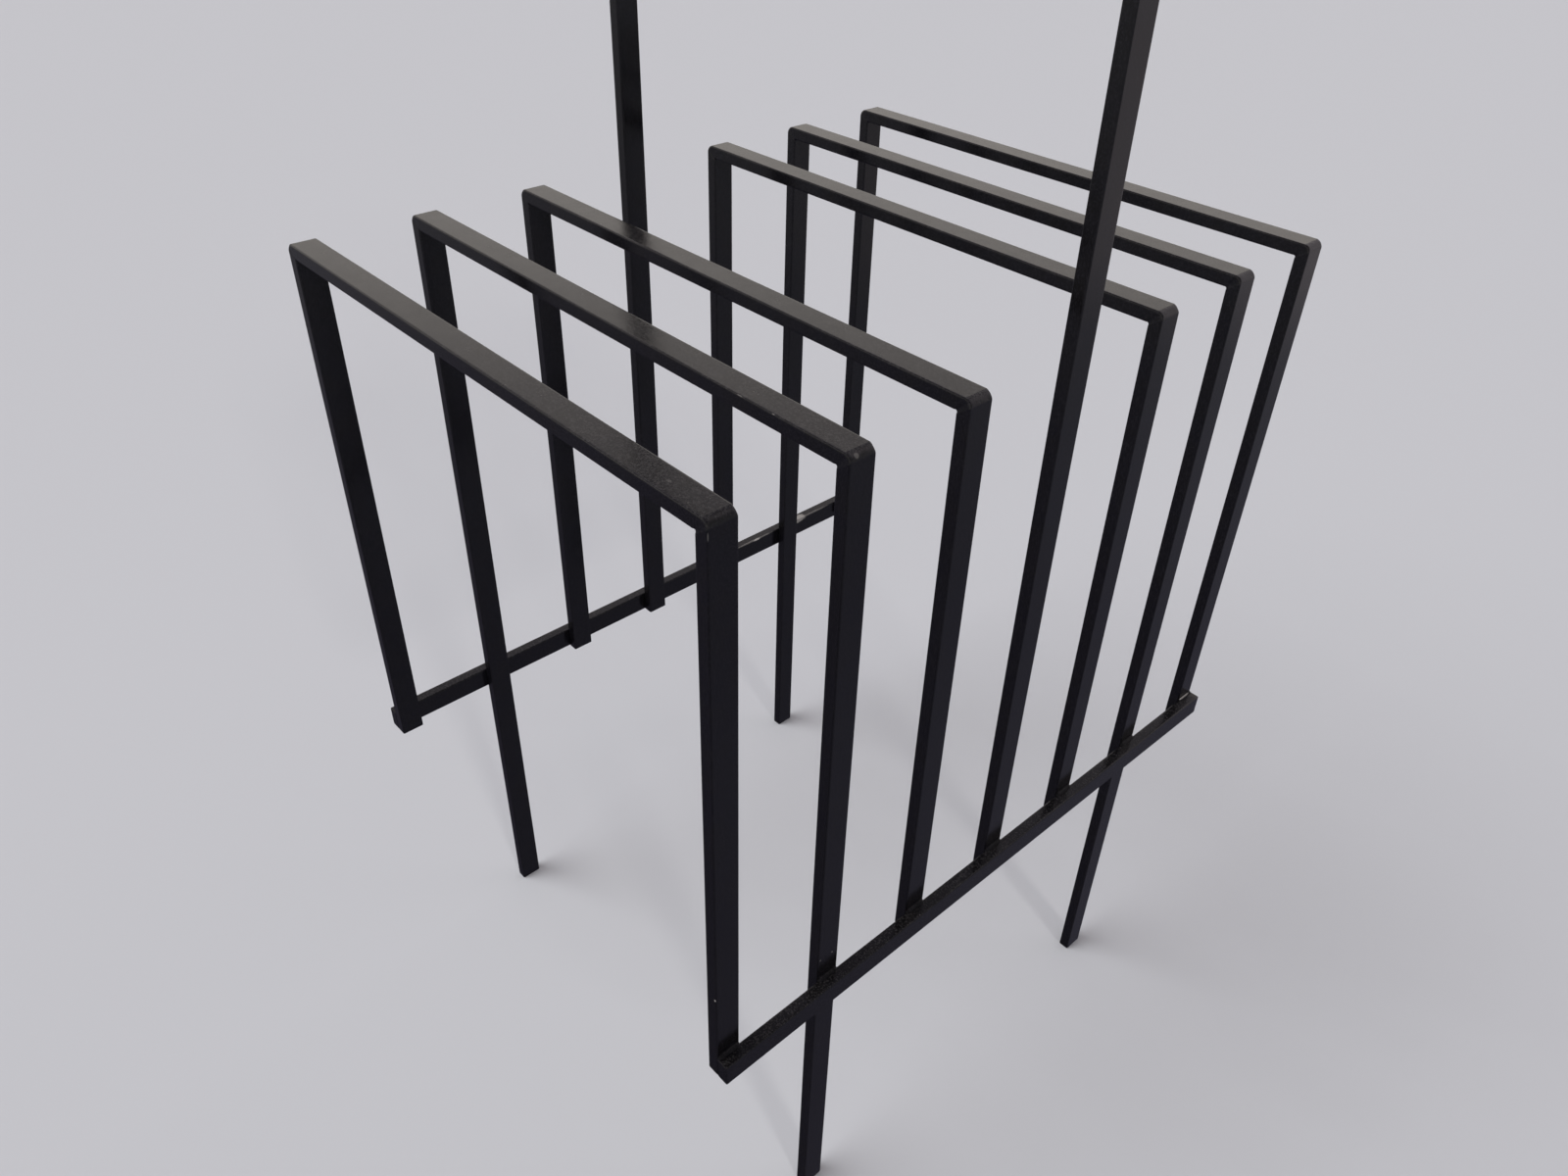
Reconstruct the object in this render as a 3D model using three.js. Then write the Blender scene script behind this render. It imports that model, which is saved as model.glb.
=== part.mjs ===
// Newspaper rack: seven upright frames of flat steel bar stand in a row across
// two side rails. The middle frame is taller and is the carrying handle, and
// the second and sixth frames run on below the rails as the four legs.
// Folded papers drop in between the frames and rest on the two rails.
//
// Millimetres. X runs across the rack, Y from front to back, Z up.
// The origin is on the floor, under the middle of the rack.

import * as THREE from 'three';

// Flat bar: the wide faces look out to the sides, the thin edges to the front and back.
const BAR_THICKNESS = 6;
const BAR_WIDTH = 12;

// Frames
const FRAME_SPAN = 280;
const FRAME_PITCH = 57;
const HOOP_TOP = 445;
const HANDLE_TOP = 650;

// Rails
const RAIL_UNDERSIDE = 166;
const RAIL_TOP = RAIL_UNDERSIDE + BAR_WIDTH;

// Welds
const CORNER_RADIUS = 3;
const INNER_CHAMFER = 1.2;
const RAIL_BEAD_LEG = 2.4;
const RAIL_BEAD_CROWN = 0.35;
const ARC_STEPS = 6;

const FLOOR = 0;
const HALF_SPAN = FRAME_SPAN / 2;

// The seven frames from front to back: how far each reaches down and up.
const FRAMES = [
  { name: 'hoop_1', side: 'upright', foot: RAIL_UNDERSIDE, top: HOOP_TOP },
  { name: 'leg_hoop_2', side: 'leg', foot: FLOOR, top: HOOP_TOP },
  { name: 'hoop_3', side: 'upright', foot: RAIL_UNDERSIDE, top: HOOP_TOP },
  { name: 'handle_4', side: 'post', foot: RAIL_UNDERSIDE, top: HANDLE_TOP },
  { name: 'hoop_5', side: 'upright', foot: RAIL_UNDERSIDE, top: HOOP_TOP },
  { name: 'leg_hoop_6', side: 'leg', foot: FLOOR, top: HOOP_TOP },
  { name: 'hoop_7', side: 'upright', foot: RAIL_UNDERSIDE, top: HOOP_TOP },
];
const SIDES = [
  { name: 'left', sign: -1 },
  { name: 'right', sign: 1 },
];
const RACK_DEPTH = (FRAMES.length - 1) * FRAME_PITCH + BAR_WIDTH;

// Black satin lacquer over everything; the welds are a little rougher.
function lacquer(name, color, roughness) {
  const material = new THREE.MeshStandardMaterial({ color, roughness, metalness: 0.1 });
  material.name = name;
  return material;
}

// A section in the X-Z plane, given as a THREE.Shape of (x, z) points, made into
// a bar that is `length` long in Y and centred on y = 0.
function prismAlongY(section, length) {
  const geometry = new THREE.ExtrudeGeometry(section, {
    depth: length,
    bevelEnabled: false,
    curveSegments: ARC_STEPS,
  });
  geometry.translate(0, 0, -length / 2);
  geometry.rotateX(Math.PI / 2);
  return geometry;
}

function polygon(points) {
  return new THREE.Shape(points.map(([x, z]) => new THREE.Vector2(x, z)));
}

function namedMesh(name, geometry, material) {
  const mesh = new THREE.Mesh(geometry, material);
  mesh.name = name;
  return mesh;
}

// An upright, a leg or a handle post: a straight bar whose upper end is cut on
// the slant for the corner weld.
function uprightGeometry(sign, foot, top) {
  const outer = sign * HALF_SPAN;
  const inner = sign * (HALF_SPAN - BAR_THICKNESS);
  return prismAlongY(polygon([
    [inner, foot],
    [outer, foot],
    [outer, top - CORNER_RADIUS],
    [inner, top - BAR_THICKNESS - INNER_CHAMFER],
  ]), BAR_WIDTH);
}

// The bar across the top of a frame, cut on the slant at both ends.
function topBarGeometry(top) {
  const outer = HALF_SPAN - CORNER_RADIUS;
  const inner = HALF_SPAN - BAR_THICKNESS - INNER_CHAMFER;
  return prismAlongY(polygon([
    [-inner, top - BAR_THICKNESS],
    [inner, top - BAR_THICKNESS],
    [outer, top],
    [-outer, top],
  ]), BAR_WIDTH);
}

// The weld that fills a top corner between upright and top bar. It is ground
// to a small radius outside and closes the inside corner with a small chamfer.
function cornerWeldGeometry(sign, top) {
  const x = (distance) => sign * (HALF_SPAN - distance);
  const start = sign > 0 ? 0 : Math.PI;
  const crest = Math.PI / 2;
  const section = new THREE.Shape();
  section.moveTo(x(BAR_THICKNESS), top - BAR_THICKNESS - INNER_CHAMFER);
  section.lineTo(x(0), top - CORNER_RADIUS);
  section.absarc(x(CORNER_RADIUS), top - CORNER_RADIUS, CORNER_RADIUS, start, crest, sign < 0);
  section.lineTo(x(BAR_THICKNESS + INNER_CHAMFER), top - BAR_THICKNESS);
  section.closePath();
  return prismAlongY(section, BAR_WIDTH);
}

// The fillet weld on top of a rail, in the angle against an upright's outer
// face. Its sloping face bulges slightly.
function railWeldGeometry(sign) {
  const inner = sign * HALF_SPAN;
  const outer = sign * (HALF_SPAN + RAIL_BEAD_LEG);
  const crown = RAIL_BEAD_LEG / 2 + RAIL_BEAD_CROWN * Math.SQRT2;
  const section = new THREE.Shape();
  section.moveTo(inner, RAIL_TOP);
  section.lineTo(outer, RAIL_TOP);
  section.quadraticCurveTo(
    sign * (HALF_SPAN + crown),
    RAIL_TOP + crown,
    inner,
    RAIL_TOP + RAIL_BEAD_LEG,
  );
  section.closePath();
  return prismAlongY(section, BAR_WIDTH);
}

// A side rail: the same flat bar on edge, flush with the first and last frames.
function railGeometry(sign) {
  const geometry = new THREE.BoxGeometry(BAR_THICKNESS, RACK_DEPTH, BAR_WIDTH);
  const x = sign * (HALF_SPAN + BAR_THICKNESS / 2);
  geometry.translate(x, 0, RAIL_UNDERSIDE + BAR_WIDTH / 2);
  return geometry;
}

// One frame with its own welds, at its place along the rails.
function frame({ name, side, foot, top }, index) {
  const group = new THREE.Group();
  group.position.y = (index - (FRAMES.length - 1) / 2) * FRAME_PITCH;
  group.add(namedMesh(`${name}_top_bar`, topBarGeometry(top), lacquer('lacquer', 0x17161a, 0.42)));
  for (const { name: hand, sign } of SIDES) {
    group.add(
      namedMesh(
        `${name}_${hand}_${side}`,
        uprightGeometry(sign, foot, top),
        lacquer('lacquer', 0x17161a, 0.42),
      ),
      namedMesh(
        `${name}_${hand}_corner_weld`,
        cornerWeldGeometry(sign, top),
        lacquer('ground_weld', 0x1a191c, 0.5),
      ),
      namedMesh(
        `${name}_${hand}_rail_weld`,
        railWeldGeometry(sign),
        lacquer('rail_weld', 0x1c1b1e, 0.55),
      ),
    );
  }
  return group;
}

const rack = new THREE.Group();
rack.name = 'newspaper_rack';
for (const { name, sign } of SIDES) {
  rack.add(namedMesh(`${name}_rail`, railGeometry(sign), lacquer('lacquer', 0x17161a, 0.42)));
}
FRAMES.forEach((spec, index) => rack.add(frame(spec, index)));

export default rack;
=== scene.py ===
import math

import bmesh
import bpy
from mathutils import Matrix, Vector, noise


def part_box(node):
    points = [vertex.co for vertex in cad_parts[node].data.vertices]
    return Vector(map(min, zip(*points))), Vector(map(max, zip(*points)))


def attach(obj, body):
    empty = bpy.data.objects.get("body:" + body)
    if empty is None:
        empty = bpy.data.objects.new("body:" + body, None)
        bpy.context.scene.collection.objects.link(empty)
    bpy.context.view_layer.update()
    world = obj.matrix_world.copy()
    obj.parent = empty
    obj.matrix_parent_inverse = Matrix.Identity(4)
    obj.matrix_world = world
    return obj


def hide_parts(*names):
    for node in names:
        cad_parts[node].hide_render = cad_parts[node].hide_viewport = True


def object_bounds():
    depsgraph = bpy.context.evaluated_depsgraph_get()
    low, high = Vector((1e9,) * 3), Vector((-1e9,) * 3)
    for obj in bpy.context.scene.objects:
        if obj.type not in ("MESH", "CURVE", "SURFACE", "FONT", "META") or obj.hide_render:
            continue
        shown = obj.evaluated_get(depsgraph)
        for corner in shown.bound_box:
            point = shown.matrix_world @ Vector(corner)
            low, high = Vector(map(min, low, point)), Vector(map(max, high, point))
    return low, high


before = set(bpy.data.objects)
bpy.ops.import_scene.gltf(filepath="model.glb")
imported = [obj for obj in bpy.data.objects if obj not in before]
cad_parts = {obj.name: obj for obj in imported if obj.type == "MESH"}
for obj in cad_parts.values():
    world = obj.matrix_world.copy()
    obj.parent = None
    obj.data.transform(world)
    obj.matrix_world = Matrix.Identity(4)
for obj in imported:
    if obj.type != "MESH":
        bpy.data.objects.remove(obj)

# Newspaper rack of flat steel bar, lacquered black. Every CAD solid is replaced by
# a detailed piece in the same place: bars with rounded arrises and faces that
# aren't quite flat, corner welds ground by hand, and rippled beads on the rails.
# Everything is in metres, in the frame of the CAD model.

CAD_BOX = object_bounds()
MM = 0.001

# The seven frames from front to back, and what their uprights are called.
FRAMES = (
    ("hoop_1", "upright"),
    ("leg_hoop_2", "leg"),
    ("hoop_3", "upright"),
    ("handle_4", "post"),
    ("hoop_5", "upright"),
    ("leg_hoop_6", "leg"),
    ("hoop_7", "upright"),
)
HANDS = (("left", -1), ("right", 1))

# Bars
ARRIS = 0.6 * MM
ARRIS_STEPS = 4
ARRIS_GUARD = 0.45 * MM
NARROW_STOPS = 2
WIDE_STOPS = 4
STATION_PITCH = 5 * MM
END_EASE = 0.5 * MM
END_STEPS = 3
WAVE_DEPTH = 0.07 * MM
WAVE_RATE = 22
WAVE_SHIFT = 7
SHARP_ANGLE = math.radians(50)

# Corner welds
WELD_STEPS = 12
WELD_ARRIS = 1.0 * MM
GRIND_DEPTH = 0.22 * MM
GRIND_RATE = 420

# Rail welds
BEAD_STATIONS = 44
BEAD_FACE_STEPS = 8
BEAD_SHARE = 0.6
BEAD_ROOT = 0.4 * MM
BEAD_BACK = 0.25 * MM
BEAD_CROWN = 0.16 * MM
BEAD_TAPER = 1.4 * MM
RIPPLE_PITCH = 1.3 * MM
RIPPLE_DEPTH = 0.08 * MM
RIPPLE_LAG = 0.5 * MM
# Painted highlight on the crests of the rail welds' ripples, in the lighter colour of worn
# arrises.
RIPPLE_HIGHLIGHT = 0.6
BEAD_END_SIZE = 0.35
BEAD_LUMPINESS = 0.1
BEAD_LUMP_RATE = 260

# The three finishes of the lacquer, from smooth and glossy to lumpy and dull.
BAR_FINISH = {"shade": 0.0024, "roughness": 0.16, "orange_peel": 0.014 * MM, "gloss": 0.5}
GROUND_FINISH = {"shade": 0.0028, "roughness": 0.24, "orange_peel": 0.016 * MM, "gloss": 0.5}
BEAD_FINISH = {"shade": 0.0030, "roughness": 0.34, "orange_peel": 0.018 * MM, "gloss": 0.22}
LACQUER_IOR = 1.5

# Colour of the lacquer: tints that are multiplied by a finish's shade. A GRAIN is a
# noise's rate per metre, detail and roughness, and a RANGE is where it fades in.
BLUE_BLACK = (0.90, 0.84, 1.50)
BROWN_BLACK = (1.22, 1.04, 1.12)
PALE_BLACK = (1.9, 1.8, 2.2)
SPECKLE = (4.8, 4.4, 5.6)
PATCH_GRAIN = (95, 3.0, 0.5)
PATCH_RANGE = (0.36, 0.66)
CLOUD_GRAIN = (420, 3.0, 0.6)
CLOUD_RANGE = (0.3, 0.7)
CLOUD_STRENGTH = 0.4
SALT_GRAIN = (1300, 3.0, 0.6)
SALT_RANGE = (0.46, 0.66)
SALT_STRENGTH = 0.7

# Dust, on faces whose normal's height is in UPWARD_RANGE or above it.
UPWARD_RANGE = (0.55, 0.97)
DUST_COLOUR = (0.36, 0.34, 0.31, 1)
FILM_GRAIN = (60, 5.0, 0.65)
FILM_RANGE = (0.35, 0.75)
FILM_COVER = (0.002, 0.010)
SPECK_RATE = 420
SPECK_RANGE = (0.80, 1.0)
SPECK_RADIUS = 0.15
SPECK_COVER = 0.16
SALT_COVER = 0.05

# Wear along the arrises, and a painted highlight on the crests of the rail welds' ripples
RUBBED_AND_HIGHLIGHT_COLOUR = (0.085, 0.080, 0.076, 1)
RUBBED_AND_HIGHLIGHT_STRENGTH = 0.16
STRETCH_GRAIN = (70, 2.0, 0.5)
STRETCH_RANGE = (0.48, 0.66)
RAGGED_GRAIN = (900, 4.0, 0.7)
RAGGED_RANGE = (0.47, 0.62)
EXPOSED_RANGE = (0.0, 0.5)
EXPOSED_WEAR = (0.3, 1.0)

# Gloss: how a cloud, dust and bare spots change the roughness.
GLOSS_GRAIN = (130, 4.0, 0.6)
GLOSS_RANGE = (0.3, 0.7)
GLOSS_CHANGE = (-0.025, 0.035)
DUST_DULLING = 1.2
BARE_DULLING = 0.4

# Relief. RATES are a noise's rates per metre along the bar, across its thickness and
# across its width.
PEEL_GRAIN = (900, 3.0, 0.6)
ROLLED_RATES = (18, 1300, 1300)
ROLLED_DEPTH = 0.006 * MM
GRIT_GRAIN = (2000, 2.0, 0.5)
GRIT_RANGE = (0.60, 0.80)
GRIT_HEIGHT = 0.016 * MM
CHIP_DEPTH = 0.05 * MM
SANDING_RATES = (1500, 260, 130)
SANDING_DEPTH = 0.022 * MM
PIT_GRAIN = (700, 2.0, 0.5)
PIT_RANGE = (0.30, 0.42)
PIT_DEPTH = 0.03 * MM
SPATTER_GRAIN = (1100, 3.0, 0.6)
SPATTER_HEIGHT = 0.05 * MM

# Small damage to the lacquer: the node, the place as shares of the node's box,
# the half sizes in millimetres, and how much bare undercoat shows.
FLAWS = (
    ("hoop_1_right_upright", (0.99, 0.03, 0.991), (0.25, 0.25, 1.7), 0.15),
    ("hoop_1_right_upright", (0.87, 0.0, 0.188), (0.45, 0.6, 0.6), 0.95),
    ("hoop_1_top_bar", (0.922, 0.46, 1.0), (1.2, 0.6, 0.5), 0.09),
    ("leg_hoop_2_right_corner_weld", (0.89, 0.3, 0.81), (1.05, 1.05, 1.05), 0.16),
    ("leg_hoop_2_right_leg", (1.0, 0.7, 0.434), (0.4, 0.4, 0.4), 0.6),
    ("leg_hoop_2_right_leg", (1.0, 0.11, 0.434), (0.5, 0.5, 0.5), 0.2),
    ("leg_hoop_2_top_bar", (0.818, 0.0, 1.0), (2.0, 0.4, 0.4), 0.25),
    ("leg_hoop_2_top_bar", (0.88, 0.0, 1.0), (1.2, 0.4, 0.4), 0.25),
    ("left_rail", (0.97, 0.750, 0.97), (0.8, 3.4, 0.6), 0.9),
    ("left_rail", (0.96, 0.745, 0.99), (0.9, 17.0, 0.5), 0.28),
    ("left_rail", (0.80, 0.858, 0.97), (4.2, 7.4, 2.6), 0.62),
    ("left_rail", (0.96, 0.895, 0.99), (1.0, 16.0, 0.6), 0.22),
    ("hoop_7_right_rail_weld", (0.25, 0.36, 0.3), (0.5, 5.2, 0.5), 0.75),
)
UNDERCOAT_COLOUR = (0.52, 0.49, 0.46, 1)
FLAW_GRAIN = (650, 4.0, 0.7)
# A flaw fades in between these distances from its middle, in half sizes, once the
# ragged noise has been added to them.
FLAW_EDGE = (1.62, 1.22)

# Camera
CAMERA_PLACE = (0.36095, -0.35272, 0.63035)
CAMERA_AZIMUTH = math.radians(46.97)
CAMERA_ELEVATION = math.radians(36.44)
CAMERA_ROLL = math.radians(1.574)
CAMERA_LENS = 27.338
SENSOR_WIDTH = 36
CLIP_START = 0.02
CLIP_END = 60

# Studio: what the lacquer mirrors, as colours by elevation in degrees. The bright
# side is a pale wall over a dark floor, and the dim side a dim wall over a lighter one.
BRIGHT_SIDE = (
    (-90, (0.018, 0.016, 0.024)),
    (-60, (0.028, 0.026, 0.037)),
    (-46, (0.044, 0.040, 0.060)),
    (-32, (0.080, 0.074, 0.102)),
    (-25, (0.108, 0.102, 0.128)),
    (-19, (0.165, 0.160, 0.182)),
    (-5, (0.30, 0.295, 0.30)),
    (7, (0.88, 0.822, 0.77)),
    (22, (0.90, 0.842, 0.79)),
    (29, (0.50, 0.460, 0.458)),
    (37, (0.43, 0.398, 0.430)),
    (46, (0.29, 0.275, 0.315)),
    (58, (0.140, 0.128, 0.160)),
    (90, (0.120, 0.110, 0.140)),
)
DIM_SIDE = (
    (-90, (0.050, 0.047, 0.064)),
    (-57, (0.084, 0.079, 0.108)),
    (-46, (0.122, 0.118, 0.156)),
    (-36, (0.128, 0.124, 0.162)),
    (-28, (0.168, 0.166, 0.206)),
    (-5, (0.26, 0.26, 0.28)),
    (9, (0.20, 0.20, 0.20)),
    (40, (0.17, 0.165, 0.18)),
    (90, (0.120, 0.110, 0.140)),
)
# How much of the bright side there is, by azimuth in degrees from the X axis.
BRIGHTNESS = (
    (-180, 1.0),
    (-150, 0.9),
    (-100, 0.55),
    (-45, 0.35),
    (-10, 0.1),
    (12, 0.0),
    (62, 0.0),
    (98, 1.0),
    (180, 1.0),
)
# A plain wall between the two sides, darker at its foot: where it starts and ends by
# azimuth and by elevation, each as the start and end of its two soft borders.
WALL_COLOUR = (0.68, 0.62, 0.655, 1)
WALL_FOOT_COLOUR = (0.42, 0.385, 0.412, 1)
WALL_FOOT = (-11, 0)
WALL_AZIMUTHS = (41, 49, 98, 112)
WALL_ELEVATIONS = (-23.5, -18.5, 45, 70)
BACKDROP_COLOUR = (0.565, 0.565, 0.58, 1)
FLOOR_SIZE = 24
FLOOR_COLOUR = (0.66, 0.67, 0.69, 1)
FLOOR_ROUGHNESS = 0.85
FLOOR_GLOSS = 0.2

# Lamps: name, azimuth, elevation and width in degrees, strength, colour.
LAMPS = (
    ("key_light", -16, 28, 8, 0.6, (1.0, 0.98, 0.95)),
    ("fill_light", 239, 52, 45, 1.8, (0.97, 0.98, 1.0)),
)


def share(low, high, part):
    return low + (high - low) * part


def unit(value):
    """A value from -1 to 1 as one from 0 to 1."""
    return 0.5 + 0.5 * value


def level(elevation):
    """The height of a direction at this elevation in degrees, from -1 to 1."""
    return math.sin(math.radians(elevation))


def turn_share(azimuth):
    """An azimuth from -180 to 180 degrees as a part of the whole turn."""
    return 0.5 + azimuth / 360


# ---------------------------------------------------------------- materials

def add(tree, kind, inputs=None, **settings):
    """A node with its settings and inputs; a socket given as an input is linked."""
    made = tree.nodes.new(kind)
    for name, value in settings.items():
        setattr(made, name, value)
    for name, value in (inputs or {}).items():
        if isinstance(value, bpy.types.NodeSocket):
            tree.links.new(value, made.inputs[name])
        else:
            made.inputs[name].default_value = value
    return made


def calc(tree, operation, a, b=0.0, clamp=False):
    made = add(tree, "ShaderNodeMath", {0: a, 1: b}, operation=operation, use_clamp=clamp)
    return made.outputs[0]


def vector_calc(tree, operation, a, b):
    made = add(tree, "ShaderNodeVectorMath", {0: a, 1: b}, operation=operation)
    return made.outputs[0]


def grains(tree, where, rate, detail=2.0, roughness=0.5):
    made = add(tree, "ShaderNodeTexNoise", {
        "Vector": where,
        "Scale": rate,
        "Detail": detail,
        "Roughness": roughness,
    })
    return made.outputs[0]


def ramp(tree, value, low, high, out_low=0.0, out_high=1.0):
    made = add(tree, "ShaderNodeMapRange", {
        0: value,
        1: low,
        2: high,
        3: out_low,
        4: out_high,
    }, interpolation_type="SMOOTHSTEP")
    return made.outputs[0]


def blend(tree, part, first, second):
    made = add(tree, "ShaderNodeMix", {0: part, 6: first, 7: second}, data_type="RGBA")
    return made.outputs[2]


def flaw_mask(tree, place):
    """How much undercoat shows at a point, from the list of small damages."""
    ragged = grains(tree, place, *FLAW_GRAIN)
    total = None
    for node, shares, half_sizes, strength in FLAWS:
        low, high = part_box(node)
        centre = [share(low[i], high[i], shares[i]) for i in range(3)]
        offset = vector_calc(tree, "SUBTRACT", place, centre)
        scaled = vector_calc(tree, "DIVIDE", offset, [size * MM for size in half_sizes])
        reach = add(tree, "ShaderNodeVectorMath", {0: scaled}, operation="LENGTH").outputs["Value"]
        edge = calc(tree, "ADD", reach, ragged)
        mask = ramp(tree, edge, *FLAW_EDGE, 0.0, strength)
        total = mask if total is None else calc(tree, "MAXIMUM", total, mask)
    return total


def tinted(shade, tint):
    return tuple(shade * part for part in tint) + (1,)


def lacquer_colour(tree, place, shade, salt):
    """Blue black and brown black in patches, with a finer cloud and pale grains."""
    patches = ramp(tree, grains(tree, place, *PATCH_GRAIN), *PATCH_RANGE)
    cloud = ramp(tree, grains(tree, place, *CLOUD_GRAIN), *CLOUD_RANGE)
    clouded = calc(tree, "MULTIPLY", cloud, CLOUD_STRENGTH)
    salted = calc(tree, "MULTIPLY", salt, SALT_STRENGTH)
    base = blend(tree, patches, tinted(shade, BLUE_BLACK), tinted(shade, BROWN_BLACK))
    base = blend(tree, clouded, base, tinted(shade, PALE_BLACK))
    return blend(tree, salted, base, tinted(shade, SPECKLE))


def dust_cover(tree, place, upward, salt):
    """A thin film, loose specks and fine grains, only where the surface looks up."""
    film = ramp(tree, grains(tree, place, *FILM_GRAIN), *FILM_RANGE, *FILM_COVER)
    specks = add(tree, "ShaderNodeTexVoronoi", {"Vector": place, "Scale": SPECK_RATE})
    chance = add(tree, "ShaderNodeSeparateColor", {0: specks.outputs["Color"]}).outputs[0]
    radius = ramp(tree, chance, *SPECK_RANGE, 0.0, SPECK_RADIUS)
    dots = calc(tree, "LESS_THAN", specks.outputs["Distance"], radius)
    dust = calc(tree, "ADD", film, calc(tree, "MULTIPLY", dots, SPECK_COVER))
    dust = calc(tree, "ADD", dust, calc(tree, "MULTIPLY", salt, SALT_COVER))
    return calc(tree, "MULTIPLY", dust, upward)


def arris_wear_and_crest_highlight(tree, place, grain, height_of_normal):
    """Wear along the arrises, in short ragged stretches, most where they look up. On the
    rail welds it is a painted highlight on the ripple crests.
    """
    # The arris attribute holds wear on the bars and a painted highlight on the weld ripple crests.
    worn_and_crest_highlight = add(tree, "ShaderNodeAttribute", attribute_name="arris").outputs["Fac"]
    stretch = ramp(tree, grains(tree, grain, *STRETCH_GRAIN), *STRETCH_RANGE)
    ragged = ramp(tree, grains(tree, place, *RAGGED_GRAIN), *RAGGED_RANGE)
    exposed = ramp(tree, height_of_normal, *EXPOSED_RANGE, *EXPOSED_WEAR)
    edges = calc(tree, "MULTIPLY", worn_and_crest_highlight, exposed)
    rubbed_and_highlight = calc(tree, "MULTIPLY", calc(tree, "MULTIPLY", edges, stretch), ragged)
    return calc(tree, "MULTIPLY", rubbed_and_highlight, RUBBED_AND_HIGHLIGHT_STRENGTH)


def satin(tree, place, roughness, dust, bare):
    """Roughness: cloudy, and duller under dust and on bare spots."""
    cloud = ramp(tree, grains(tree, place, *GLOSS_GRAIN), *GLOSS_RANGE, *GLOSS_CHANGE)
    dusty = calc(tree, "MULTIPLY", dust, DUST_DULLING)
    dull = calc(tree, "ADD", dusty, calc(tree, "MULTIPLY", bare, BARE_DULLING))
    return calc(tree, "ADD", calc(tree, "ADD", cloud, roughness), dull, clamp=True)


def lacquer_height(tree, place, grain, bare, orange_peel):
    """Orange peel, lines rolled into the bar, grit under the paint, and chips."""
    peel = calc(tree, "MULTIPLY", grains(tree, place, *PEEL_GRAIN), orange_peel)
    along = vector_calc(tree, "MULTIPLY", grain, ROLLED_RATES)
    rolled = calc(tree, "MULTIPLY", grains(tree, along, 1.0, 2.0), ROLLED_DEPTH)
    grit = ramp(tree, grains(tree, place, *GRIT_GRAIN), *GRIT_RANGE, 0.0, GRIT_HEIGHT)
    height = calc(tree, "ADD", calc(tree, "ADD", peel, rolled), grit)
    return calc(tree, "SUBTRACT", height, calc(tree, "MULTIPLY", bare, CHIP_DEPTH))


def black_lacquer(name, shade, roughness, orange_peel, gloss, extra_height=None):
    """Black lacquer on steel: its mottled shade, roughness, height of the orange peel
    and gloss, which is how strongly it mirrors. Dust lies on what faces up, arrises
    are worn, the ripple crests of the rail welds get a painted highlight, and
    extra_height(tree, place, grain) adds to the relief."""
    material = bpy.data.materials.new(name)
    material.use_nodes = True
    tree = material.node_tree
    tree.nodes.clear()
    place = add(tree, "ShaderNodeTexCoord").outputs["Object"]
    grain = add(tree, "ShaderNodeAttribute", attribute_name="grain").outputs["Vector"]
    normal = add(tree, "ShaderNodeNewGeometry").outputs["Normal"]
    height_of_normal = add(tree, "ShaderNodeSeparateXYZ", {0: normal}).outputs["Z"]
    upward = ramp(tree, height_of_normal, *UPWARD_RANGE)

    salt = ramp(tree, grains(tree, place, *SALT_GRAIN), *SALT_RANGE)
    dust = dust_cover(tree, place, upward, salt)
    rubbed_and_highlight = arris_wear_and_crest_highlight(tree, place, grain, height_of_normal)
    bare = flaw_mask(tree, place)
    base = lacquer_colour(tree, place, shade, salt)
    base = blend(tree, dust, base, DUST_COLOUR)
    # Lighter paint: wear on the arrises, and a painted highlight on the weld ripple crests.
    base = blend(tree, rubbed_and_highlight, base, RUBBED_AND_HIGHLIGHT_COLOUR)
    base = blend(tree, bare, base, UNDERCOAT_COLOUR)

    height = lacquer_height(tree, place, grain, bare, orange_peel)
    if extra_height is not None:
        height = calc(tree, "ADD", height, extra_height(tree, place, grain))
    relief = add(tree, "ShaderNodeBump", {"Strength": 1.0, "Distance": 1.0, "Height": height})

    shader = add(tree, "ShaderNodeBsdfPrincipled", {
        "Base Color": base,
        "Roughness": satin(tree, place, roughness, dust, bare),
        "Normal": relief.outputs["Normal"],
        "IOR": LACQUER_IOR,
        "Specular IOR Level": gloss,
    })
    output = add(tree, "ShaderNodeOutputMaterial")
    tree.links.new(shader.outputs[0], output.inputs["Surface"])
    return material


def sanding_marks(tree, place, grain):
    """Scratches of the grinding disc across a corner weld, filled by the paint."""
    across = vector_calc(tree, "MULTIPLY", grain, SANDING_RATES)
    lines = calc(tree, "MULTIPLY", grains(tree, across, 1.0, 3.0, 0.6), SANDING_DEPTH)
    pits = ramp(tree, grains(tree, place, *PIT_GRAIN), *PIT_RANGE, -PIT_DEPTH, 0.0)
    return calc(tree, "ADD", lines, pits)


def spatter(tree, place, grain):
    """Lumpy paint over a rippled bead."""
    return calc(tree, "MULTIPLY", grains(tree, place, *SPATTER_GRAIN), SPATTER_HEIGHT)


def floor_material():
    material = bpy.data.materials.new("studio_floor")
    material.use_nodes = True
    tree = material.node_tree
    shader = tree.nodes["Principled BSDF"]
    shader.inputs["Base Color"].default_value = FLOOR_COLOUR
    shader.inputs["Roughness"].default_value = FLOOR_ROUGHNESS
    shader.inputs["Specular IOR Level"].default_value = FLOOR_GLOSS
    return material


# ---------------------------------------------------------------- meshes

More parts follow.
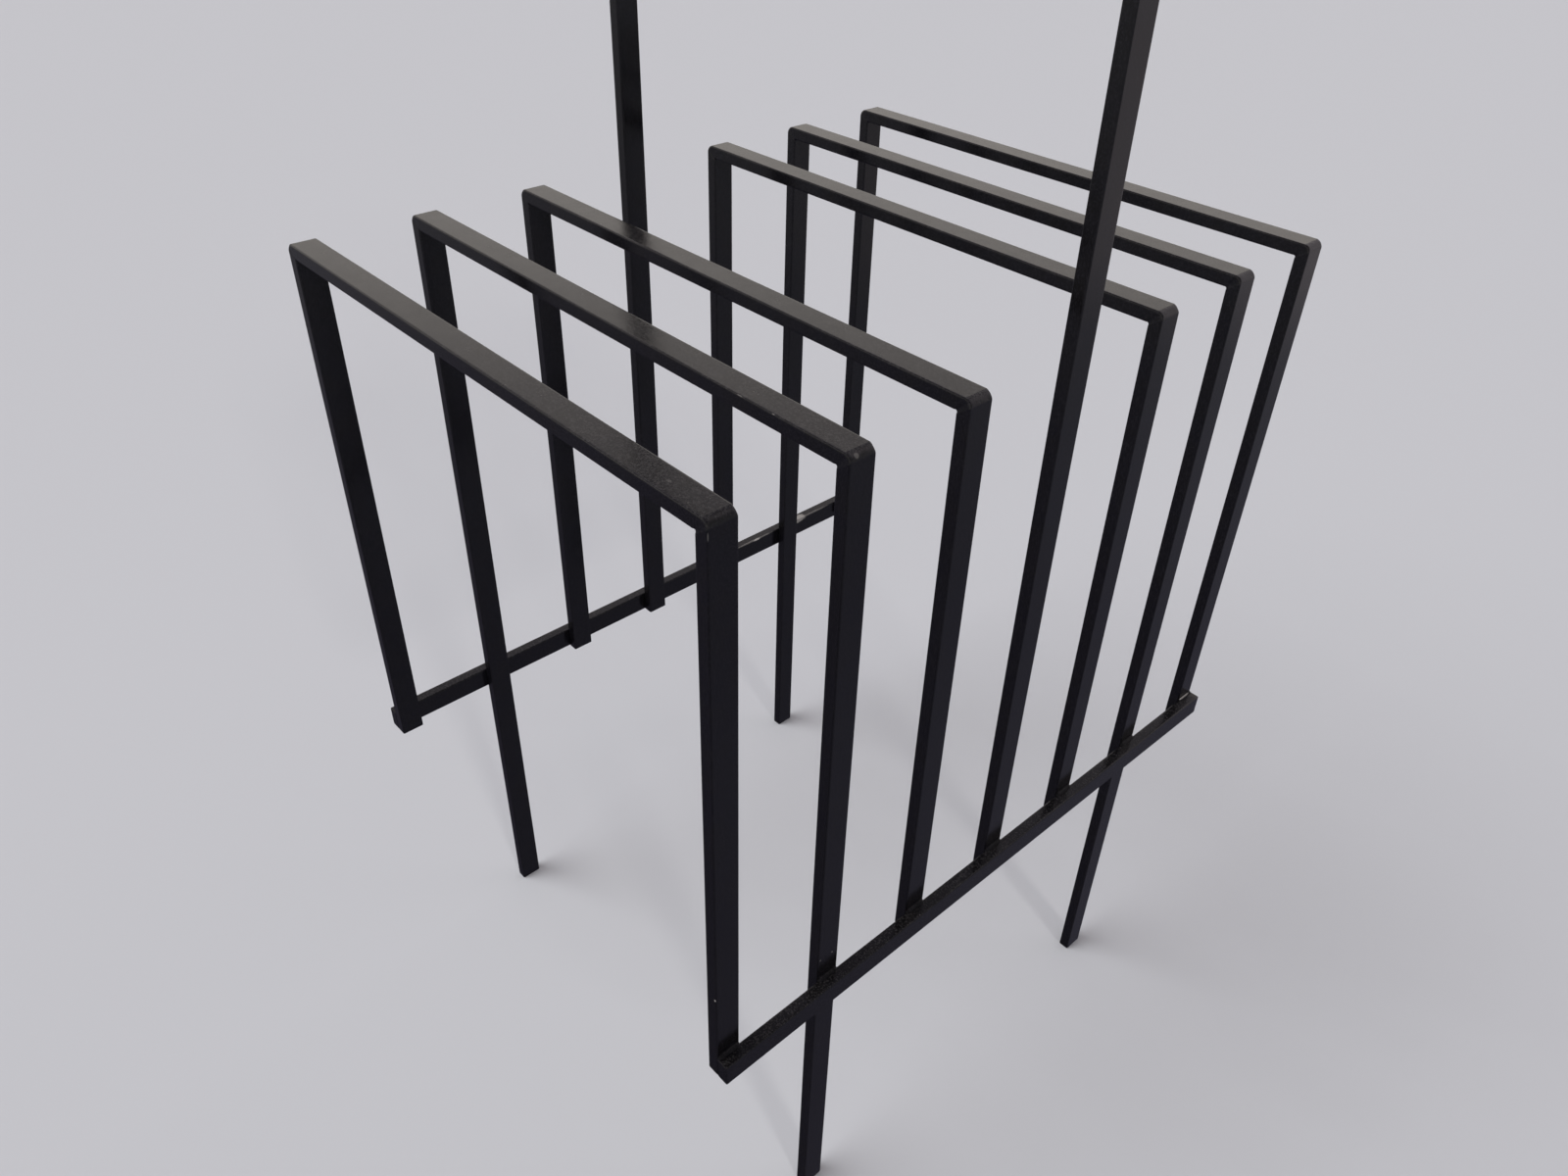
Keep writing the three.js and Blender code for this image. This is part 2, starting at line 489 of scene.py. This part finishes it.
def bar_section(half_thickness, half_width, arris):
    """Points round a bar's section, as (u, v, nu, nv, wear): place across the
    thickness and the width, the outward direction, and 1 on a rounded arris."""
    points = []
    corners = ((1, 1), (-1, 1), (-1, -1), (1, -1))
    for index, (side_u, side_v) in enumerate(corners):
        centre_u = side_u * (half_thickness - arris)
        centre_v = side_v * (half_width - arris)
        for step in range(ARRIS_STEPS + 1):
            angle = math.pi / 2 * (index + step / ARRIS_STEPS)
            nu = math.cos(angle)
            nv = math.sin(angle)
            points.append((centre_u + arris * nu, centre_v + arris * nv, nu, nv, 1.0))
        start_u, start_v, nu, nv, _ = points[-1]
        narrow = index % 2 == 0
        length = 2 * ((half_thickness if narrow else half_width) - arris)
        count = NARROW_STOPS if narrow else WIDE_STOPS
        guard = ARRIS_GUARD / length
        stops = [guard] + [(k + 1) / (count + 1) for k in range(count)] + [1 - guard]
        for stop in stops:
            reach = stop * length
            points.append((start_u - nv * reach, start_v + nu * reach, nu, nv, 0.0))
    return points


def settle(place, outward):
    """A face that isn't quite flat: the point moves in by up to WAVE_DEPTH."""
    wave = noise.noise(place * WAVE_RATE + outward * WAVE_SHIFT)
    return place - outward * (WAVE_DEPTH * unit(wave))


def eased_end():
    """(inset, set back, wear) of the rings that round off a cut end, from its
    flat middle outwards."""
    rings = [(END_EASE + ARRIS_GUARD, 0.0, 0.0)]
    for step in range(END_STEPS):
        angle = math.pi / 2 * step / END_STEPS
        rings.append((END_EASE * (1 - math.sin(angle)), END_EASE * (1 - math.cos(angle)), 1.0))
    return rings


def skin(name, rings):
    """A closed mesh through rings of (place, wear, grain), with flat ends. On the rail
    welds the wear is a painted highlight on the ripple crests.
    """
    mesh = bpy.data.meshes.new(name)
    work = bmesh.new()
    wear_and_highlight_layer = work.verts.layers.float.new("arris")
    grain_layer = work.verts.layers.float_vector.new("grain")
    loops = []
    for ring in rings:
        loop = []
        for place, wear, grain in ring:
            vertex = work.verts.new(place)
            vertex[wear_and_highlight_layer] = wear
            vertex[grain_layer] = grain
            loop.append(vertex)
        loops.append(loop)
    for first, second in zip(loops, loops[1:]):
        for here in range(len(first)):
            there = (here + 1) % len(first)
            work.faces.new((first[here], first[there], second[there], second[here]))
    work.faces.new(loops[0])
    work.faces.new(loops[-1])
    bmesh.ops.recalc_face_normals(work, faces=work.faces)
    work.to_mesh(mesh)
    work.free()
    mesh.shade_smooth()
    mesh.set_sharp_from_angle(angle=SHARP_ANGLE)
    return bpy.data.objects.new(name, mesh)


def station_count(length):
    return max(2, round(length / STATION_PITCH))


class Corner:
    """The sizes of a frame's top corner, from the boxes of its CAD solids."""

    def __init__(self, name, side):
        self.bar_low, self.bar_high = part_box(f"{name}_top_bar")
        self.side_low, self.side_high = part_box(f"{name}_right_{side}")
        weld_low, weld_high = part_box(f"{name}_right_corner_weld")
        self.top = self.bar_high.z
        self.thickness = self.bar_high.z - self.bar_low.z
        self.half_width = (self.bar_high.y - self.bar_low.y) / 2
        self.middle_y = (self.bar_high.y + self.bar_low.y) / 2
        self.span = self.side_high.x
        self.foot = self.side_low.z
        self.radius = weld_high.z - self.side_high.z
        self.fillet = weld_high.z - weld_low.z - self.thickness
        self.section = bar_section(self.thickness / 2, self.half_width, ARRIS)

    def cut_back(self, u):
        """How far behind the outer corner the slanted cut is, at u across the bar."""
        depth = (self.thickness / 2 - u) / self.thickness
        return self.radius + depth * (self.thickness + self.fillet - self.radius)


def upright(name, corner, sign):
    middle_x = sign * (corner.span - corner.thickness / 2)
    rings = []

    def ring(section, height, wear_at_least):
        points = []
        for u, v, nu, nv, wear in section:
            place = Vector((middle_x + sign * u, corner.middle_y + v, height(u)))
            outward = Vector((sign * nu, nv, 0))
            points.append((settle(place, outward), max(wear, wear_at_least), (place.z, u, v)))
        rings.append(points)

    for inset, back, wear in eased_end():
        small = bar_section(corner.thickness / 2 - inset, corner.half_width - inset, ARRIS)
        ring(small, lambda u, z=corner.foot + back: z, wear)
    start = corner.foot + END_EASE
    count = station_count(corner.top - start)
    for step in range(count + 1):
        part = step / count
        ring(
            corner.section,
            lambda u, part=part: share(start, corner.top - corner.cut_back(u), part),
            0.0,
        )
    return skin(name, rings)


def top_bar(name, corner):
    middle_z = corner.top - corner.thickness / 2
    count = station_count(2 * corner.span)
    rings = []
    for step in range(count + 1):
        part = 2 * step / count - 1
        points = []
        for u, v, nu, nv, wear in corner.section:
            x = part * (corner.span - corner.cut_back(u))
            place = Vector((x, corner.middle_y + v, middle_z + u))
            outward = Vector((0, nv, nu))
            points.append((settle(place, outward), wear, (x, u, v)))
        rings.append(points)
    return skin(name, rings)


def corner_weld(name, corner, sign):
    """The ground corner: a section that turns from the upright to the top bar."""
    outer_centre = corner.span - corner.radius, corner.top - corner.radius
    inner_reach = corner.thickness + corner.fillet
    inner_centre = corner.span - inner_reach, corner.top - inner_reach
    rings = []
    for step in range(WELD_STEPS + 1):
        part = step / WELD_STEPS
        angle = math.pi / 2 * part
        hump = math.sin(math.pi * part)
        turn = Vector((sign * math.cos(angle), 0, math.sin(angle)))
        outer = Vector((sign * outer_centre[0], 0, outer_centre[1])) + turn * corner.radius
        inner = Vector((sign * inner_centre[0], 0, inner_centre[1])) + turn * corner.fillet
        arris = share(ARRIS, WELD_ARRIS, hump)
        points = []
        for u, v, nu, nv, wear in bar_section(corner.thickness / 2, corner.half_width, arris):
            place = inner.lerp(outer, 0.5 + u / corner.thickness)
            place.y = corner.middle_y + v
            outward = turn * nu + Vector((0, nv, 0))
            uneven = unit(noise.noise(place * GRIND_RATE))
            ground = place - outward * (GRIND_DEPTH * hump * uneven)
            points.append((settle(ground, outward), wear, (part * corner.radius, u, v)))
        rings.append(points)
    return skin(name, rings)


def rail(name):
    low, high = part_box(name)
    middle = (low + high) / 2
    sign = 1 if middle.x > 0 else -1
    half_thickness = (high.x - low.x) / 2
    half_width = (high.z - low.z) / 2
    section = bar_section(half_thickness, half_width, ARRIS)
    rings = []

    def ring(points, y, wear_at_least):
        made = []
        for u, v, nu, nv, wear in points:
            place = Vector((middle.x + sign * u, y, middle.z + v))
            outward = Vector((sign * nu, 0, nv))
            made.append((settle(place, outward), max(wear, wear_at_least), (y, u, v)))
        rings.append(made)

    ends = [
        (bar_section(half_thickness - inset, half_width - inset, ARRIS), back, wear)
        for inset, back, wear in eased_end()
    ]
    for points, back, wear in ends:
        ring(points, low.y + back, wear)
    start = low.y + END_EASE
    length = high.y - low.y - 2 * END_EASE
    count = station_count(length)
    for step in range(count + 1):
        ring(section, start + length * step / count, 0.0)
    for points, back, wear in reversed(ends):
        ring(points, high.y - back, wear)
    return skin(name + "_bar", rings)


def rail_weld(name, sign):
    """A rippled fillet bead in the angle between a rail's top and an upright."""
    low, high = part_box(name)
    root_x = min(abs(low.x), abs(high.x))
    leg = (high.z - low.z) * BEAD_SHARE
    start = low.y + BEAD_BACK
    length = high.y - low.y - 2 * BEAD_BACK
    rings = []
    for station in range(BEAD_STATIONS + 1):
        y = start + length * station / BEAD_STATIONS
        to_end = min(y - start, start + length - y)
        taper = share(BEAD_END_SIZE, 1, math.sin(math.pi / 2 * min(1, to_end / BEAD_TAPER)))
        lump = noise.noise(Vector((root_x * sign, y, 0)) * BEAD_LUMP_RATE)
        lumpy = 1 + BEAD_LUMPINESS * lump
        size = leg * taper * lumpy
        points = [(-BEAD_ROOT, -BEAD_ROOT, 0.0), (size, -BEAD_ROOT, 0.0)]
        for step in range(BEAD_FACE_STEPS + 1):
            part = step / BEAD_FACE_STEPS
            lag = RIPPLE_LAG * 4 * part * (1 - part)
            crest = unit(math.cos(2 * math.pi * (y - lag) / RIPPLE_PITCH))
            swell = math.sin(math.pi * part)
            bulge = (BEAD_CROWN * taper - RIPPLE_DEPTH * (1 - crest)) * swell
            bulge /= math.sqrt(2)
            # Painted highlight: the ripple crests are made lighter, as where light would catch
            # them.
            wear = RIPPLE_HIGHLIGHT * crest * swell
            points.append((size * (1 - part) + bulge, size * part + bulge, wear))
        points.append((-BEAD_ROOT, size, 0.0))
        rings.append([
            (Vector((sign * (root_x + x), y, low.z + z)), wear, (y, x, z))
            for x, z, wear in points
        ])
    return skin(name + "_bead", rings)


def studio_floor():
    mesh = bpy.data.meshes.new("studio_floor")
    half = FLOOR_SIZE / 2
    ground = CAD_BOX[0].z
    corners = [
        (-half, -half, ground),
        (half, -half, ground),
        (half, half, ground),
        (-half, half, ground),
    ]
    mesh.from_pydata(corners, [], [(0, 1, 2, 3)])
    return bpy.data.objects.new("studio_floor", mesh)


# ---------------------------------------------------------------- assembly

def place_piece(piece, node, material):
    bpy.context.scene.collection.objects.link(piece)
    piece.data.materials.append(material)
    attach(piece, "root")
    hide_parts(node)


def build_rack():
    lacquer = black_lacquer("black_lacquer", **BAR_FINISH)
    ground = black_lacquer("ground_weld_lacquer", **GROUND_FINISH, extra_height=sanding_marks)
    beaded = black_lacquer("rail_weld_lacquer", **BEAD_FINISH, extra_height=spatter)
    for hand, _ in HANDS:
        node = f"{hand}_rail"
        place_piece(rail(node), node, lacquer)
    for name, side in FRAMES:
        corner = Corner(name, side)
        node = f"{name}_top_bar"
        place_piece(top_bar(node + "_bar", corner), node, lacquer)
        for hand, sign in HANDS:
            node = f"{name}_{hand}_{side}"
            place_piece(upright(node + "_bar", corner, sign), node, lacquer)
            node = f"{name}_{hand}_corner_weld"
            place_piece(corner_weld(node + "_ground", corner, sign), node, ground)
            node = f"{name}_{hand}_rail_weld"
            place_piece(rail_weld(node, sign), node, beaded)


# ---------------------------------------------------------------- studio

def add_camera():
    data = bpy.data.cameras.new("photo_camera")
    data.lens = CAMERA_LENS
    data.sensor_width = SENSOR_WIDTH
    data.clip_start = CLIP_START
    data.clip_end = CLIP_END
    camera = bpy.data.objects.new("photo_camera", data)
    sideways = math.cos(CAMERA_ELEVATION)
    back = Vector((
        math.sin(CAMERA_AZIMUTH) * sideways,
        -math.cos(CAMERA_AZIMUTH) * sideways,
        math.sin(CAMERA_ELEVATION),
    ))
    flat = Vector((math.cos(CAMERA_AZIMUTH), math.sin(CAMERA_AZIMUTH), 0))
    right = flat * math.cos(CAMERA_ROLL) + back.cross(flat) * math.sin(CAMERA_ROLL)
    up = back.cross(right)
    turn = Matrix((right, up, back)).transposed().to_4x4()
    camera.matrix_world = Matrix.Translation(CAMERA_PLACE) @ turn
    bpy.context.scene.collection.objects.link(camera)
    bpy.context.scene.camera = camera


def add_light(name, azimuth, elevation, width, strength, colour):
    """A far, soft lamp: the direction it stands in, how wide it looks from the rack
    (all in degrees) and how strongly it lights a surface that faces it. The gloss
    mirrors the surround instead of the lamp."""
    data = bpy.data.lights.new(name, "SUN")
    data.angle = math.radians(width)
    data.energy = strength
    data.color = colour
    light = bpy.data.objects.new(name, data)
    sideways = math.cos(math.radians(elevation))
    light.location = (
        math.cos(math.radians(azimuth)) * sideways,
        math.sin(math.radians(azimuth)) * sideways,
        math.sin(math.radians(elevation)),
    )
    light.rotation_euler = light.location.to_track_quat("Z", "Y").to_euler()
    light.visible_glossy = False
    bpy.context.scene.collection.objects.link(light)


def colour_ramp(tree, part, stops):
    """A ramp through (place from 0 to 1, colour) stops."""
    bands = add(tree, "ShaderNodeValToRGB", {"Fac": part})
    made = bands.color_ramp.elements
    while len(made) < len(stops):
        made.new(0.5)
    for stop, (position, colour) in zip(made, stops):
        stop.position = position
        stop.color = colour
    return bands.outputs[0]


def side_by_elevation(tree, height, bands):
    part = calc(tree, "MULTIPLY", calc(tree, "ADD", height, 1.0), 0.5)
    stops = [(unit(level(elevation)), colour + (1,)) for elevation, colour in bands]
    return colour_ramp(tree, part, stops)


def between(tree, value, marks):
    """1 between the two middle marks, fading to 0 at the outer ones."""
    rise = ramp(tree, value, marks[0], marks[1])
    fall = ramp(tree, value, marks[2], marks[3], 1.0, 0.0)
    return calc(tree, "MULTIPLY", rise, fall)


def add_surround():
    """What the lacquer mirrors and what lights it softly. The camera itself sees an
    even pale backdrop beyond the floor."""
    world = bpy.data.worlds.new("studio_surround")
    bpy.context.scene.world = world
    world.use_nodes = True
    tree = world.node_tree
    tree.nodes.clear()
    direction = add(tree, "ShaderNodeTexCoord").outputs["Generated"]
    parts = add(tree, "ShaderNodeSeparateXYZ", {0: direction}).outputs
    azimuth = calc(tree, "ARCTAN2", parts["Y"], parts["X"])
    turn = calc(tree, "ADD", calc(tree, "DIVIDE", azimuth, 2 * math.pi), 0.5)
    stops = [(turn_share(degrees), (bright, bright, bright, 1)) for degrees, bright in BRIGHTNESS]
    brightness = colour_ramp(tree, turn, stops)
    dim = side_by_elevation(tree, parts["Z"], DIM_SIDE)
    bright = side_by_elevation(tree, parts["Z"], BRIGHT_SIDE)
    sides = blend(tree, brightness, dim, bright)
    across = between(tree, turn, [turn_share(degrees) for degrees in WALL_AZIMUTHS])
    upright_part = between(tree, parts["Z"], [level(degrees) for degrees in WALL_ELEVATIONS])
    wall = calc(tree, "MULTIPLY", across, upright_part)
    lit = ramp(tree, parts["Z"], *[level(degrees) for degrees in WALL_FOOT])
    mirrored = blend(tree, wall, sides, blend(tree, lit, WALL_FOOT_COLOUR, WALL_COLOUR))
    seen = add(tree, "ShaderNodeLightPath").outputs["Is Camera Ray"]
    colour = blend(tree, seen, mirrored, BACKDROP_COLOUR)
    background = add(tree, "ShaderNodeBackground", {"Color": colour, "Strength": 1.0})
    output = add(tree, "ShaderNodeOutputWorld")
    tree.links.new(background.outputs[0], output.inputs["Surface"])


def build_studio():
    floor = studio_floor()
    floor.data.materials.append(floor_material())
    bpy.context.scene.collection.objects.link(floor)
    floor.visible_glossy = False
    add_surround()
    for lamp in LAMPS:
        add_light(*lamp)
    bpy.context.scene.view_settings.view_transform = "Standard"


add_camera()
build_rack()
build_studio()
